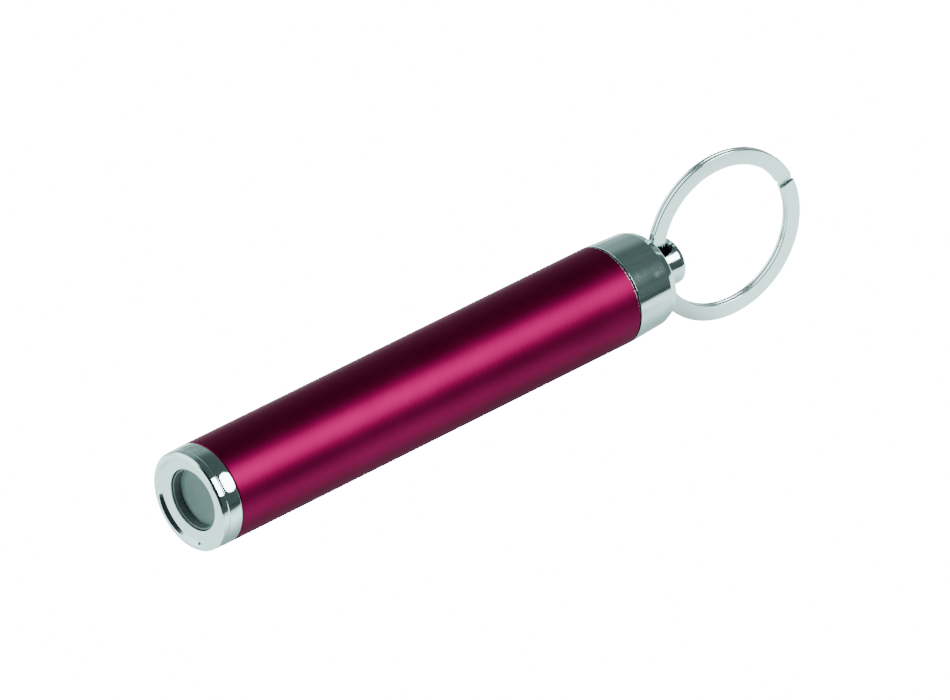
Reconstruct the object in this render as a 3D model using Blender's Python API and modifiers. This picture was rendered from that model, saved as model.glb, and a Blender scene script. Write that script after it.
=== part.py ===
"""Keychain flashlight: a turned barrel lit by one small cell, with a twist cap and a split ring.

Every size is in metres. The torch is modelled along its own axis, local Z from the barrel's
front end to its tail, and the torch empty then lays that axis along world +X with +Z up.
"""

import math

import bmesh
import bpy
from mathutils import Matrix, Vector

NAME = "keychain_flashlight"

# Clearances
SEAM = 0.0001           # bezel shoulder to barrel, screwed home
SEAT = 0.0002           # a piece lying in or on another
TWIST_GAP = 0.00035     # tail cap shoulder to barrel with the switch off

# Barrel
BARREL_RADIUS = 0.0080
BARREL_LENGTH = 0.0800
HEAD_BORE = 0.0071      # radius of the bore that takes the bezel and the lamp
HEAD_DEPTH = 0.0200
CELL_BORE = 0.0056
TAIL_RECESS_RADIUS = 0.0067
TAIL_RECESS = 0.0020
EDGE_BREAK = 0.00015

# Bezel and lens
BEZEL_LENGTH = 0.0039
BEZEL_BORE = 0.00495
BEZEL_POCKET = 0.0062
BEZEL_SPIGOT = 0.0060
FACE_DEPTH = 0.0010     # crest of the rim down to the flat face
RIM_GROOVE = 0.00635    # radius where the rim's inner slope meets the face
RIM_ROUNDING = 0.00058  # of the rim's crest
SHOULDER_ROUNDING = 0.0007
SHOULDER_BACK = 0.0013  # the shoulder's own centre behind the crest
LIP = 0.0009            # wall in front of the lens seal
SEAL_THICKNESS = 0.0006
SEAL_BORE = 0.00455
SEAL_SET_BACK = 0.0003  # its sleeve behind the bezel's face
LENS_THICKNESS = 0.0016

# Lamp
REFLECTOR_WALL = 0.0006
REFLECTOR_LENGTH = 0.0092
REFLECTOR_SLEEVE = 0.0014
LED_RADIUS = 0.0025
LED_LENGTH = 0.0086
LED_FLANGE = 0.0029
LED_FLANGE_HEIGHT = 0.0010
LEAD_WIDTH = 0.0005
LEAD_SPACING = 0.00254
LEAD_PAST_BOARD = 0.0008
LEAD_ROOM = 0.0003
HOLDER_LENGTH = 0.0092
HOLDER_WALL = 0.0010
HOLDER_FRONT_WALL = 0.0018
BOARD_THICKNESS = 0.0010
BOARD_SET_BACK = 0.0036
CLAMP_WALL = 0.0008

# Cell, a standard AAA
CELL_RADIUS = 0.00525
CELL_LENGTH = 0.0445
NUB_RADIUS = 0.0019
NUB_LENGTH = 0.0010
CELL_START = 0.0203

# Tail cap
CAP_LENGTH = 0.0086
CAP_BACK_RADIUS = 0.0077
CAP_ROUNDING = 0.0022
SPIGOT_LENGTH = 0.0090
SPIGOT_RADIUS = 0.0060
SPIGOT_BORE = 0.0049
POCKET_PAST_SEAM = 0.0017

# Thread between spigot and barrel
PITCH = 0.0010
THREAD_DEPTH = 0.00045
THREAD_LENGTH = 0.0045
THREAD_ROOT = 0.00033   # half width of the ridge at the spigot
THREAD_CREST = 0.00008
THREAD_PLAY = 0.00012   # along the axis
THREAD_ROOM = 0.00015   # over the crest
THREAD_START = 0.0014   # front of the spigot to the first ridge
THREAD_RUN_IN = 0.0015  # threaded bore ahead of the ridge with the cap home
THREAD_BURIED = 0.0002  # how far a ridge or a groove's cutter starts inside its wall

# Tail seal, in a gland between the thread and the shoulder
SEAL_RING_WIRE = 0.00042
GLAND_DEPTH = 0.0004
GLAND_PLAY = 0.00015
SEAL_RING_INSET = 0.0012

# Spring and contact
SPRING_WIRE = 0.00035
SPRING_FRONT_RADIUS = 0.0026
SPRING_REAR_RADIUS = 0.0034
SPRING_TURNS = 6
SEAT_PLATE = 0.0005
CLIP_WIRE = 0.0003

# Boss that carries the split ring
BOSS_RADIUS = 0.00375
BOSS_LENGTH = 0.0046
BOSS_RISE = 0.0008      # the boss stands this far above the torch's axis
BOSS_ROOT = 0.0010      # how deep it starts inside the cap
BOSS_ROUNDING = 0.0005
HOLE_RADIUS = 0.0022
HOLE_FROM_END = 0.0029
HOLE_FLARE = 0.0004
HOLE_FLARE_DEPTH = 0.0010

# Split ring, 28 mm across
RING_RADIUS = 0.01417
RING_WIDTH = 0.00255
RING_WIRE = 0.0006
RING_LAYER_PITCH = 0.0007
RING_RISE = 0.0020      # its middle above the torch's axis
RING_CLEAR = 0.0003     # its rim to the back of the cap
RING_SWING = math.radians(-6.9)
RING_LEAN = math.radians(4.6)
RING_END = math.radians(22)
RING_JOG = math.radians(15)

# Facets
TURN_STEPS = 40
THREAD_STEPS = 20
SMALL_STEPS = 20

# Stations along the torch that several pieces share
FACE = -BEZEL_LENGTH + FACE_DEPTH
SEAL_FRONT = FACE + LIP + SEAM
LENS_FRONT = SEAL_FRONT + SEAL_THICKNESS + SEAM
LENS_BACK = LENS_FRONT + LENS_THICKNESS
REFLECTOR_FRONT = LENS_BACK + SEAM
REFLECTOR_BACK = REFLECTOR_FRONT + REFLECTOR_LENGTH
LED_BASE = REFLECTOR_BACK + SEAT + LED_FLANGE_HEIGHT
HOLDER_BACK = HEAD_DEPTH - SEAT
HOLDER_FRONT = HOLDER_BACK - HOLDER_LENGTH
BOARD_BACK = HOLDER_BACK - BOARD_SET_BACK
BOARD_FRONT = BOARD_BACK - BOARD_THICKNESS
CELL_BACK = CELL_START + CELL_LENGTH
CAP_SHOULDER = BARREL_LENGTH + TWIST_GAP
CAP_BACK = CAP_SHOULDER + CAP_LENGTH
SPIGOT_FRONT = CAP_SHOULDER - SPIGOT_LENGTH
POCKET_BACK = CAP_SHOULDER + POCKET_PAST_SEAM
PLATE_FRONT = POCKET_BACK - SEAT - SEAT_PLATE
THREAD_MAJOR = SPIGOT_RADIUS + THREAD_DEPTH
THREAD_BORE = SPIGOT_RADIUS + SEAT
THREAD_FRONT = SPIGOT_FRONT + THREAD_START
SEAL_RING_AT = BARREL_LENGTH - SEAL_RING_INSET
GLAND_RADIUS = SPIGOT_RADIUS - GLAND_DEPTH
BOSS_END = CAP_BACK + BOSS_LENGTH
HOLE_AT = BOSS_END - HOLE_FROM_END
RING_CENTRE = CAP_BACK + RING_CLEAR + RING_RADIUS
RING_REACH = RING_CENTRE - HOLE_AT


# --- scene, collections and materials -------------------------------------------------

def clear_scene():
    for obj in list(bpy.data.objects):
        bpy.data.objects.remove(obj)


def new_collection(name):
    collection = bpy.data.collections.new(name)
    bpy.context.scene.collection.children.link(collection)
    return collection


def new_material(name, colour, metallic, roughness):
    material = bpy.data.materials.new(name)
    material.use_nodes = True
    shader = material.node_tree.nodes["Principled BSDF"]
    shader.inputs["Base Color"].default_value = (*colour, 1.0)
    shader.inputs["Metallic"].default_value = metallic
    shader.inputs["Roughness"].default_value = roughness
    material.diffuse_color = (*colour, 1.0)
    return material


clear_scene()
PARTS = new_collection(NAME)
CUTTERS = new_collection(NAME + "_cutters")
CUTTERS.hide_render = True

ANODISED = new_material("anodised_raspberry", (0.48, 0.012, 0.13), 0.9, 0.32)
CHROME = new_material("bright_chrome", (0.80, 0.86, 0.85), 1.0, 0.08)
NICKEL = new_material("nickel_plate", (0.72, 0.75, 0.73), 1.0, 0.18)
GLASS = new_material("lens_glass", (0.62, 0.70, 0.70), 0.0, 0.04)
RUBBER = new_material("black_rubber", (0.012, 0.012, 0.014), 0.0, 0.6)
MIRROR = new_material("reflector_mirror", (0.86, 0.87, 0.88), 1.0, 0.05)
EPOXY = new_material("led_epoxy", (0.86, 0.87, 0.74), 0.0, 0.1)
TINNED = new_material("tinned_wire", (0.75, 0.75, 0.74), 1.0, 0.3)
ALUMINIUM = new_material("plain_aluminium", (0.70, 0.71, 0.72), 1.0, 0.35)
FIBREGLASS = new_material("board_green", (0.02, 0.20, 0.08), 0.0, 0.4)
CHIP_BLACK = new_material("chip_black", (0.02, 0.02, 0.022), 0.0, 0.45)
FERRITE = new_material("ferrite_grey", (0.09, 0.09, 0.10), 0.0, 0.5)
CERAMIC = new_material("capacitor_tan", (0.42, 0.28, 0.15), 0.0, 0.4)
NYLON = new_material("white_nylon", (0.78, 0.77, 0.73), 0.0, 0.5)
BRASS = new_material("contact_brass", (0.80, 0.58, 0.25), 1.0, 0.25)
CELL_LABEL = new_material("cell_label", (0.03, 0.05, 0.16), 0.1, 0.35)
STEEL = new_material("spring_steel", (0.62, 0.63, 0.64), 1.0, 0.28)


# --- empties that carry the pieces ----------------------------------------------------

def new_empty(name, parent=None, location=(0, 0, 0), rotation=(0, 0, 0)):
    empty = bpy.data.objects.new(name, None)
    empty.empty_display_size = 0.01
    empty.parent = parent
    empty.location = location
    empty.rotation_euler = rotation
    PARTS.objects.link(empty)
    return empty


TORCH = new_empty("torch", rotation=(0, math.pi / 2, 0))
SPRING_SLIDE = new_empty("spring_slide", TORCH)
CAP_AXIS = new_empty("cap_axis", SPRING_SLIDE, location=(0, 0, CAP_SHOULDER))
# Turned back so that its own Z points up the hole in the boss.
RING_PIVOT = new_empty("ring_pivot", CAP_AXIS, (0, 0, HOLE_AT - CAP_SHOULDER), (0, -math.pi / 2, 0))


# --- ways of making a shape -----------------------------------------------------------

def add_object(name, data, parent, material=None, location=(0, 0, 0), rotation=(0, 0, 0)):
    """Links a new object to the parts, or to the cutters when it has no material."""
    obj = bpy.data.objects.new(name, data)
    obj.parent = parent
    obj.location = location
    obj.rotation_euler = rotation
    if material is None:
        obj.hide_render = True
        obj.display_type = "WIRE"
        CUTTERS.objects.link(obj)
    else:
        data.materials.append(material)
        PARTS.objects.link(obj)
    return obj


def arc(centre, radius, start, end, steps):
    """Points (station, radius) round a centre: 0 degrees faces the tail, 90 faces outwards."""
    turns = [math.radians(start + (end - start) * step / steps) for step in range(steps + 1)]
    return [(centre[0] + radius * math.cos(t), centre[1] + radius * math.sin(t)) for t in turns]


def doubled_area(outline):
    following = outline[1:] + outline[:1]
    return sum(a[0] * b[1] - b[0] * a[1] for a, b in zip(outline, following))


def turned(name, profile, parent, material, steps=TURN_STEPS, origin=0.0):
    """Turns (station, radius) points round the axis; a profile off the axis closes on itself."""
    on_axis = profile[0][1] == 0 and profile[-1][1] == 0
    if doubled_area(profile) < 0:
        profile = profile[::-1]
    mesh = bpy.data.meshes.new(name)
    points = [(radius, 0, station - origin) for station, radius in profile]
    edges = [(i, i + 1) for i in range(len(points) - 1)]
    if not on_axis:
        edges.append((len(points) - 1, 0))
    mesh.from_pydata(points, edges, [])
    obj = add_object(name, mesh, parent, material)
    screw = obj.modifiers.new("turn", "SCREW")
    screw.steps = steps
    screw.render_steps = steps
    screw.use_merge_vertices = True
    screw.merge_threshold = 1e-7
    screw.use_smooth_shade = True
    return obj


def finished_mesh(name, bm):
    bmesh.ops.recalc_face_normals(bm, faces=bm.faces)
    mesh = bpy.data.meshes.new(name)
    bm.to_mesh(mesh)
    bm.free()
    mesh.shade_smooth()
    mesh.set_sharp_from_angle(angle=math.radians(35))
    return mesh


def cylinder(name, radius, depth, parent, material=None, location=(0, 0, 0), rotation=(0, 0, 0),
             steps=SMALL_STEPS, top_radius=None, bevel=0.0):
    bm = bmesh.new()
    top = radius if top_radius is None else top_radius
    bmesh.ops.create_cone(bm, cap_ends=True, segments=steps, radius1=radius, radius2=top, depth=depth)
    obj = add_object(name, finished_mesh(name, bm), parent, material, location, rotation)
    if bevel:
        round_edges(obj, bevel)
    return obj


def box(name, size, parent, material=None, location=(0, 0, 0), bevel=0.0):
    bm = bmesh.new()
    bmesh.ops.create_cube(bm, size=1.0, matrix=Matrix.Diagonal((*size, 1.0)))
    obj = add_object(name, finished_mesh(name, bm), parent, material, location)
    if bevel:
        round_edges(obj, bevel)
    return obj


def round_edges(obj, width, segments=2):
    bevel = obj.modifiers.new("rounding", "BEVEL")
    bevel.width = width
    bevel.segments = segments
    bevel.limit_method = "ANGLE"
    bevel.angle_limit = math.radians(40)


def boolean(obj, other, operation):
    modifier = obj.modifiers.new(operation.lower() + "_" + other.name, "BOOLEAN")
    modifier.operation = operation
    modifier.solver = "EXACT"
    modifier.object = other


def helix_ridge(name, parent, section, start, turns):
    """Sweeps a (station, radius) section along a right-hand thread of the torch's pitch."""
    bm = bmesh.new()
    corners = [bm.verts.new((radius, 0, start + station)) for station, radius in section]
    face = bm.faces.new(corners)
    steps = round(turns * THREAD_STEPS)
    bmesh.ops.spin(
        bm, geom=[*bm.verts, *bm.edges, face], cent=(0, 0, 0), axis=(0, 0, 1),
        dvec=(0, 0, PITCH / THREAD_STEPS), angle=math.tau * steps / THREAD_STEPS, steps=steps,
        use_duplicate=False,
    )
    return add_object(name, finished_mesh(name, bm), parent)


def wire_mesh(name, points, radius):
    """A round wire along the points, as a closed mesh."""
    curve = bpy.data.curves.new(name, "CURVE")
    curve.dimensions = "3D"
    curve.bevel_depth = radius
    curve.bevel_resolution = 2
    curve.use_fill_caps = True
    spline = curve.splines.new("POLY")
    spline.points.add(len(points) - 1)
    for point, place in zip(spline.points, points):
        point.co = (*place, 1.0)
    return welded(name, curve)


def welded(name, curve):
    """Evaluates a curve to a mesh and welds its caps to its side."""
    guide = bpy.data.objects.new(name + "_guide", curve)
    CUTTERS.objects.link(guide)
    guide.hide_render = True
    bpy.context.view_layer.update()
    graph = bpy.context.evaluated_depsgraph_get()
    mesh = bpy.data.meshes.new_from_object(guide.evaluated_get(graph))
    bpy.data.objects.remove(guide)
    bm = bmesh.new()
    bm.from_mesh(mesh)
    bmesh.ops.remove_doubles(bm, verts=bm.verts, dist=1e-6)
    return finished_mesh(name, bm)


# --- barrel ---------------------------------------------------------------------------

def thread_section(root, half_foot, half_crest, crest):
    """Trapezium (station, radius) of a ridge, or of the groove that it runs in."""
    return [(-half_foot, root), (-half_crest, crest), (half_crest, crest), (half_foot, root)]


def make_barrel():
    """Thick tube: a wide bore for the lamp, a close bore for the cell, a thread at the tail."""
    thread_end = BARREL_LENGTH - TAIL_RECESS
    thread_start = THREAD_FRONT - THREAD_RUN_IN
    step = 0.0005
    profile = [
        (EDGE_BREAK, BARREL_RADIUS), (BARREL_LENGTH - EDGE_BREAK, BARREL_RADIUS),
        (BARREL_LENGTH, BARREL_RADIUS - EDGE_BREAK), (BARREL_LENGTH, TAIL_RECESS_RADIUS),
        (thread_end, TAIL_RECESS_RADIUS), (thread_end - step, THREAD_BORE),
        (thread_start, THREAD_BORE), (thread_start - step, CELL_BORE),
        (HEAD_DEPTH, CELL_BORE), (HEAD_DEPTH, HEAD_BORE),
        (0.0, HEAD_BORE), (0.0, BARREL_RADIUS - EDGE_BREAK),
    ]
    barrel = turned("barrel", profile, TORCH, ANODISED)
    # The ridge's own section, grown by its play, cuts the groove it runs in.
    slope = (THREAD_ROOT - THREAD_CREST) / THREAD_DEPTH
    root = THREAD_BORE - THREAD_BURIED
    half_foot = THREAD_ROOT + THREAD_PLAY + slope * (SPIGOT_RADIUS - root)
    half_crest = THREAD_CREST + THREAD_PLAY
    section = thread_section(root, half_foot, half_crest, THREAD_MAJOR + THREAD_ROOM)
    ahead = 1
    turns = ahead + math.ceil((BARREL_LENGTH - THREAD_FRONT) / PITCH) + 1
    groove = helix_ridge("barrel_thread_cutter", TORCH, section, THREAD_FRONT - ahead * PITCH, turns)
    boolean(barrel, groove, "DIFFERENCE")


# --- bezel, lens and seal -------------------------------------------------------------

def make_bezel():
    """Chromed ring with a rounded rim, a flat face round the lens and a spigot in the barrel."""
    crest = FACE - FACE_DEPTH
    rim_radius = RIM_GROOVE + RIM_ROUNDING + SEAM
    shoulder_centre = (crest + SHOULDER_BACK, BARREL_RADIUS - SHOULDER_ROUNDING)
    shoulder = arc(shoulder_centre, SHOULDER_ROUNDING, 90, 148, 3)
    rim = arc((crest + RIM_ROUNDING, rim_radius), RIM_ROUNDING, 120, 235, 5)
    spigot = HEAD_BORE - SEAT
    chamfer = 0.0002
    profile = [
        (-SEAM, BARREL_RADIUS - EDGE_BREAK), (-SEAM - EDGE_BREAK, BARREL_RADIUS), *shoulder, *rim,
        (FACE - chamfer, RIM_GROOVE), (FACE, RIM_GROOVE - chamfer), (FACE, BEZEL_BORE + chamfer / 2),
        (FACE + chamfer / 2, BEZEL_BORE), (FACE + LIP, BEZEL_BORE), (FACE + LIP, BEZEL_POCKET),
        (BEZEL_SPIGOT, BEZEL_POCKET), (BEZEL_SPIGOT, spigot - chamfer),
        (BEZEL_SPIGOT - chamfer, spigot), (-SEAM, spigot),
    ]
    turned("bezel", profile, TORCH, CHROME)


def make_lens():
    radius = BEZEL_POCKET - SEAT
    chamfer = 0.0001
    turned("lens", [
        (LENS_BACK, 0.0), (LENS_BACK, radius), (LENS_FRONT + chamfer, radius),
        (LENS_FRONT, radius - chamfer), (LENS_FRONT, 0.0),
    ], TORCH, GLASS)


def make_lens_seal():
    """Black ring of L section: its flange seats the lens, its sleeve lines the bezel's bore."""
    back = SEAL_FRONT + SEAL_THICKNESS
    outside = BEZEL_POCKET - SEAT
    sleeve = BEZEL_BORE - SEAM
    front = FACE + SEAL_SET_BACK
    soft = 0.0001
    turned("lens_seal", [
        (back, outside), (SEAL_FRONT, outside), (SEAL_FRONT, sleeve), (front + soft, sleeve),
        (front, sleeve - soft), (front, SEAL_BORE + soft), (front + soft, SEAL_BORE),
        (back, SEAL_BORE),
    ], TORCH, RUBBER)


# --- lamp -----------------------------------------------------------------------------

def make_reflector():
    """Parabolic cup; its throat is a sleeve round the lamp."""
    mouth = BEZEL_POCKET - SEAT - REFLECTOR_WALL
    throat = LED_RADIUS + SEAT
    depth = REFLECTOR_LENGTH - REFLECTOR_SLEEVE
    steps = 5
    cup = []
    for step in range(steps + 1):
        radius = mouth + (throat - mouth) * step / steps
        fall = (mouth**2 - radius**2) / (mouth**2 - throat**2)
        cup.append((REFLECTOR_FRONT + depth * fall, radius))
    outer = [(station, radius + REFLECTOR_WALL) for station, radius in cup]
    outer[0] = (REFLECTOR_FRONT, mouth + REFLECTOR_WALL)
    turned("reflector", [
        *cup, (REFLECTOR_BACK, throat), (REFLECTOR_BACK, throat + REFLECTOR_WALL), *outer[::-1],
    ], TORCH, MIRROR)


def make_led():
    tip = LED_BASE - LED_LENGTH
    flange = LED_BASE - LED_FLANGE_HEIGHT
    turned("led_lamp", [
        (tip, 0.0), *arc((tip + LED_RADIUS, 0.0), LED_RADIUS, 180, 90, 6)[1:],
        (flange, LED_RADIUS), (flange, LED_FLANGE), (LED_BASE, LED_FLANGE), (LED_BASE, 0.0),
    ], TORCH, EPOXY, steps=SMALL_STEPS)
    start = LED_BASE + SEAT
    end = BOARD_BACK + LEAD_PAST_BOARD
    for side, name in ((1, "led_lead_anode"), (-1, "led_lead_cathode")):
        box(name, (LEAD_WIDTH, LEAD_WIDTH, end - start), TORCH, TINNED,
            (0, side * LEAD_SPACING / 2, (start + end) / 2))


def make_lamp_holder():
    """Aluminium cup that stands on the step in the barrel and carries the board."""
    outside = HEAD_BORE - SEAT
    inside = outside - HOLDER_WALL
    pocket = HOLDER_FRONT + HOLDER_FRONT_WALL
    hole = LED_FLANGE + SEAT
    turned("lamp_holder", [
        (HOLDER_FRONT, outside), (HOLDER_BACK, outside), (HOLDER_BACK, inside),
        (pocket, inside), (pocket, hole),
        (HOLDER_FRONT, hole),
    ], TORCH, ALUMINIUM)
    return inside


def make_board(inside):
    """Round board in the holder's pocket, its driver parts, its clamp and the cell's contact."""
    radius = inside - SEAT
    middle = (BOARD_FRONT + BOARD_BACK) / 2
    board = cylinder("led_board", radius, BOARD_THICKNESS, TORCH, FIBREGLASS, (0, 0, middle),
                     steps=TURN_STEPS)
    for side, name in ((1, "anode_hole"), (-1, "cathode_hole")):
        hole = cylinder(name, LEAD_WIDTH / 2 + LEAD_ROOM, 3 * BOARD_THICKNESS, TORCH,
                        location=(0, side * LEAD_SPACING / 2, middle), steps=12)
        boolean(board, hole, "DIFFERENCE")
    top = BOARD_BACK + SEAT
    place = (radius - CLAMP_WALL) * 0.7
    chip = (0.0016, 0.0029, 0.0011)
    box("driver_chip", chip, TORCH, CHIP_BLACK, (-place, 0, top + chip[2] / 2), bevel=0.0001)
    coil_radius, coil_height = 0.0014, 0.0016
    cylinder("driver_coil", coil_radius, coil_height, TORCH, FERRITE,
             (place, 0, top + coil_height / 2), bevel=0.00015)
    capacitor = (0.0016, 0.0008, 0.0008)
    box("driver_capacitor", capacitor, TORCH, CERAMIC, (0, place, top + capacitor[2] / 2),
        bevel=0.0001)
    clamp = radius - CLAMP_WALL
    turned("board_clamp", [
        (top, radius), (HOLDER_BACK, radius), (HOLDER_BACK, clamp), (top, clamp),
    ], TORCH, NYLON)
    end = CELL_START - SEAT
    button, stem, thick, chamfer = 0.0018, 0.0007, 0.0008, 0.0003
    turned("cell_contact", [
        (top, 0.0), (top, stem), (end - thick, stem), (end - thick, button),
        (end - chamfer, button), (end, button - chamfer), (end, 0.0),
    ], TORCH, BRASS, steps=SMALL_STEPS)


# --- cell -----------------------------------------------------------------------------

def make_cell():
    """AAA cell: the can with its rolled ends, and the nub on its washer."""
    can_front = CELL_START + NUB_LENGTH
    roll, dish = 0.0004, 0.0003
    rim = CELL_RADIUS - 0.0009
    turned("cell_can", [
        (can_front + dish, 0.0), (can_front + dish, rim - roll / 2), (can_front, rim),
        (can_front, CELL_RADIUS - roll), (can_front + roll, CELL_RADIUS),
        (CELL_BACK - roll, CELL_RADIUS), (CELL_BACK, CELL_RADIUS - roll),
        (CELL_BACK, rim), (CELL_BACK - dish, rim - roll / 2), (CELL_BACK - dish, 0.0),
    ], TORCH, CELL_LABEL)
    base = can_front + dish - SEAM
    washer = rim - roll
    turned("cell_nub", [
        (CELL_START, 0.0), (CELL_START, NUB_RADIUS - dish), (CELL_START + dish, NUB_RADIUS),
        (base - dish, NUB_RADIUS), (base - dish, washer), (base, washer), (base, 0.0),
    ], TORCH, NICKEL, steps=SMALL_STEPS)


# --- spring and its seat, which slide with the cap but don't turn ----------------------

def make_spring():
    start = CELL_BACK + SEAT + SPRING_WIRE
    end = PLATE_FRONT - SEAT - SPRING_WIRE
    steps = 12
    flat = 0.8
    points = []
    for step in range(SPRING_TURNS * steps + 1):
        turn = step / steps
        climb = min(max((turn - flat) / (SPRING_TURNS - 2 * flat), 0.0), 1.0)
        lift = start + (end - start) * climb
        radius = SPRING_FRONT_RADIUS + (SPRING_REAR_RADIUS - SPRING_FRONT_RADIUS) * climb
        angle = math.tau * turn
        points.append((radius * math.cos(angle), radius * math.sin(angle), lift))
    add_object("tail_spring", wire_mesh("tail_spring", points, SPRING_WIRE), SPRING_SLIDE, STEEL)
    turned("spring_seat", [
        (PLATE_FRONT, 0.0), (PLATE_FRONT, SPIGOT_BORE - SEAT),
        (PLATE_FRONT + SEAT_PLATE, SPIGOT_BORE - SEAT), (PLATE_FRONT + SEAT_PLATE, 0.0),
    ], SPRING_SLIDE, BRASS, steps=TURN_STEPS)


# --- tail cap -------------------------------------------------------------------------

def make_tail_cap():
    """Chromed cap: threaded spigot, rounded back, and the boss with its cross hole."""
    gland_front = SEAL_RING_AT - SEAL_RING_WIRE - GLAND_PLAY
    gland_back = SEAL_RING_AT + SEAL_RING_WIRE + GLAND_PLAY
    back_corner = (CAP_BACK - CAP_ROUNDING, CAP_BACK_RADIUS - CAP_ROUNDING)
    chamfer = 0.0003
    profile = [
        (POCKET_BACK, 0.0), (POCKET_BACK, SPIGOT_BORE), (SPIGOT_FRONT, SPIGOT_BORE),
        (SPIGOT_FRONT, SPIGOT_RADIUS - chamfer), (SPIGOT_FRONT + chamfer, SPIGOT_RADIUS),
        (gland_front, SPIGOT_RADIUS), (gland_front, GLAND_RADIUS),
        (gland_back, GLAND_RADIUS), (gland_back, SPIGOT_RADIUS),
        (CAP_SHOULDER, SPIGOT_RADIUS), (CAP_SHOULDER, BARREL_RADIUS - EDGE_BREAK),
        (CAP_SHOULDER + EDGE_BREAK, BARREL_RADIUS), *arc(back_corner, CAP_ROUNDING, 90, 0, 7),
        (CAP_BACK, 0.0),
    ]
    cap = turned("tail_cap", profile, CAP_AXIS, CHROME, origin=CAP_SHOULDER)
    section = thread_section(SPIGOT_RADIUS - THREAD_BURIED, THREAD_ROOT + THREAD_CREST,
                             THREAD_CREST, THREAD_MAJOR)
    ridge = helix_ridge("cap_thread", CAP_AXIS, section, THREAD_FRONT - CAP_SHOULDER,
                        THREAD_LENGTH / PITCH)
    boolean(cap, ridge, "UNION")
    depth = BOSS_LENGTH + BOSS_ROOT
    boss = cylinder("boss", BOSS_RADIUS, depth, CAP_AXIS, steps=TURN_STEPS, bevel=BOSS_ROUNDING,
                    location=(-BOSS_RISE, 0, BOSS_END - depth / 2 - CAP_SHOULDER))
    boolean(cap, boss, "UNION")
    drill = cylinder("boss_hole", HOLE_RADIUS, 4 * BOSS_RADIUS, RING_PIVOT, steps=SMALL_STEPS,
                     location=(0, 0, BOSS_RISE))
    boolean(cap, drill, "DIFFERENCE")
    for side, name in ((1, "upper_flare"), (-1, "lower_flare")):
        # Twice the flare on twice its depth, with the middle at the boss's side.
        flare = cylinder(name, HOLE_RADIUS, 2 * HOLE_FLARE_DEPTH, RING_PIVOT,
                         top_radius=HOLE_RADIUS + 2 * HOLE_FLARE,
                         location=(0, 0, BOSS_RISE + side * BOSS_RADIUS),
                         rotation=(0 if side > 0 else math.pi, 0, 0))
        boolean(cap, flare, "DIFFERENCE")


def make_cap_fittings():
    """The seal in its gland and the open clip that keeps the spring's seat in the pocket."""
    middle = (GLAND_RADIUS + TAIL_RECESS_RADIUS) / 2
    turned("tail_seal", arc((SEAL_RING_AT, middle), SEAL_RING_WIRE, 0, 315, 7), CAP_AXIS, RUBBER,
           origin=CAP_SHOULDER)
    radius = SPIGOT_BORE - SEAM - CLIP_WIRE
    station = PLATE_FRONT - SEAT - CLIP_WIRE - CAP_SHOULDER
    gap = math.radians(60)
    steps = 24
    angles = [gap / 2 + (math.tau - gap) * step / steps for step in range(steps + 1)]
    points = [(radius * math.cos(angle), radius * math.sin(angle), station) for angle in angles]
    add_object("seat_clip", wire_mesh("seat_clip", points, CLIP_WIRE), CAP_AXIS, STEEL)


# --- split ring -----------------------------------------------------------------------

def ring_path():
    """Two turns: one in front, a short jog between the ends, and one behind."""
    turn = math.tau - RING_JOG
    stages = [(turn, 40, 0.5, 0.5), (RING_JOG, 5, 0.5, -0.5), (turn, 40, -0.5, -0.5)]
    middle = RING_RADIUS - RING_WIDTH / 2
    angle = RING_END
    points = []
    for sweep, steps, first, last in stages:
        for step in range(steps):
            share = step / steps
            ease = share * share * (3 - 2 * share)
            here = angle - sweep * share
            lift = RING_LAYER_PITCH * (first + (last - first) * ease)
            points.append((middle * math.cos(here), middle * math.sin(here), lift))
        angle -= sweep
    points.append((middle * math.cos(angle), middle * math.sin(angle), -0.5 * RING_LAYER_PITCH))
    return points


def make_split_ring():
    """Flat spring wire with softened edges, wound twice and standing upright in the boss."""
    outline = bpy.data.curves.new("ring_section", "CURVE")
    outline.dimensions = "2D"
    x, y, soft = RING_WIDTH / 2, RING_WIRE / 2, 0.00015
    corners = [(x, y - soft), (x - soft, y), (soft - x, y), (-x, y - soft),
               (-x, soft - y), (soft - x, -y), (x - soft, -y), (x, soft - y)]
    edge = outline.splines.new("POLY")
    edge.points.add(len(corners) - 1)
    edge.use_cyclic_u = True
    for point, (across, up) in zip(edge.points, corners):
        point.co = (across, up, 0.0, 1.0)
    section = add_object("ring_section", outline, None)

    path = bpy.data.curves.new("split_ring", "CURVE")
    path.dimensions = "3D"
    path.twist_mode = "Z_UP"
    path.bevel_mode = "OBJECT"
    path.bevel_object = section
    path.use_fill_caps = True
    points = ring_path()
    spline = path.splines.new("POLY")
    spline.points.add(len(points) - 1)
    for point, place in zip(spline.points, points):
        point.co = (*place, 1.0)
    upright = (math.pi / 2 - RING_LEAN, 0, 0)
    add_object("split_ring", welded("split_ring", path), RING_PIVOT, NICKEL,
               (RING_REACH, 0, RING_RISE), upright)
    RING_PIVOT.rotation_euler = (Matrix.Rotation(-math.pi / 2, 3, "Y")
                                 @ Matrix.Rotation(RING_SWING, 3, "Z")).to_euler()


# --- placing the whole ----------------------------------------------------------------

def stand_on_origin():
    """Puts the origin under the middle of the object, level with its lowest point."""
    bpy.context.view_layer.update()
    graph = bpy.context.evaluated_depsgraph_get()
    corners = []
    for obj in PARTS.objects:
        if obj.type == "MESH":
            whole = obj.evaluated_get(graph)
            corners += [whole.matrix_world @ vertex.co for vertex in whole.data.vertices]
    low = Vector([min(corner[i] for corner in corners) for i in range(3)])
    high = Vector([max(corner[i] for corner in corners) for i in range(3)])
    TORCH.location = (-(low.x + high.x) / 2, 0, -low.z)
    bpy.context.view_layer.update()


make_barrel()
make_bezel()
make_lens()
make_lens_seal()
make_reflector()
make_led()
make_board(make_lamp_holder())
make_cell()
make_spring()
make_tail_cap()
make_cap_fittings()
make_split_ring()
stand_on_origin()
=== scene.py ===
import math

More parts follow.
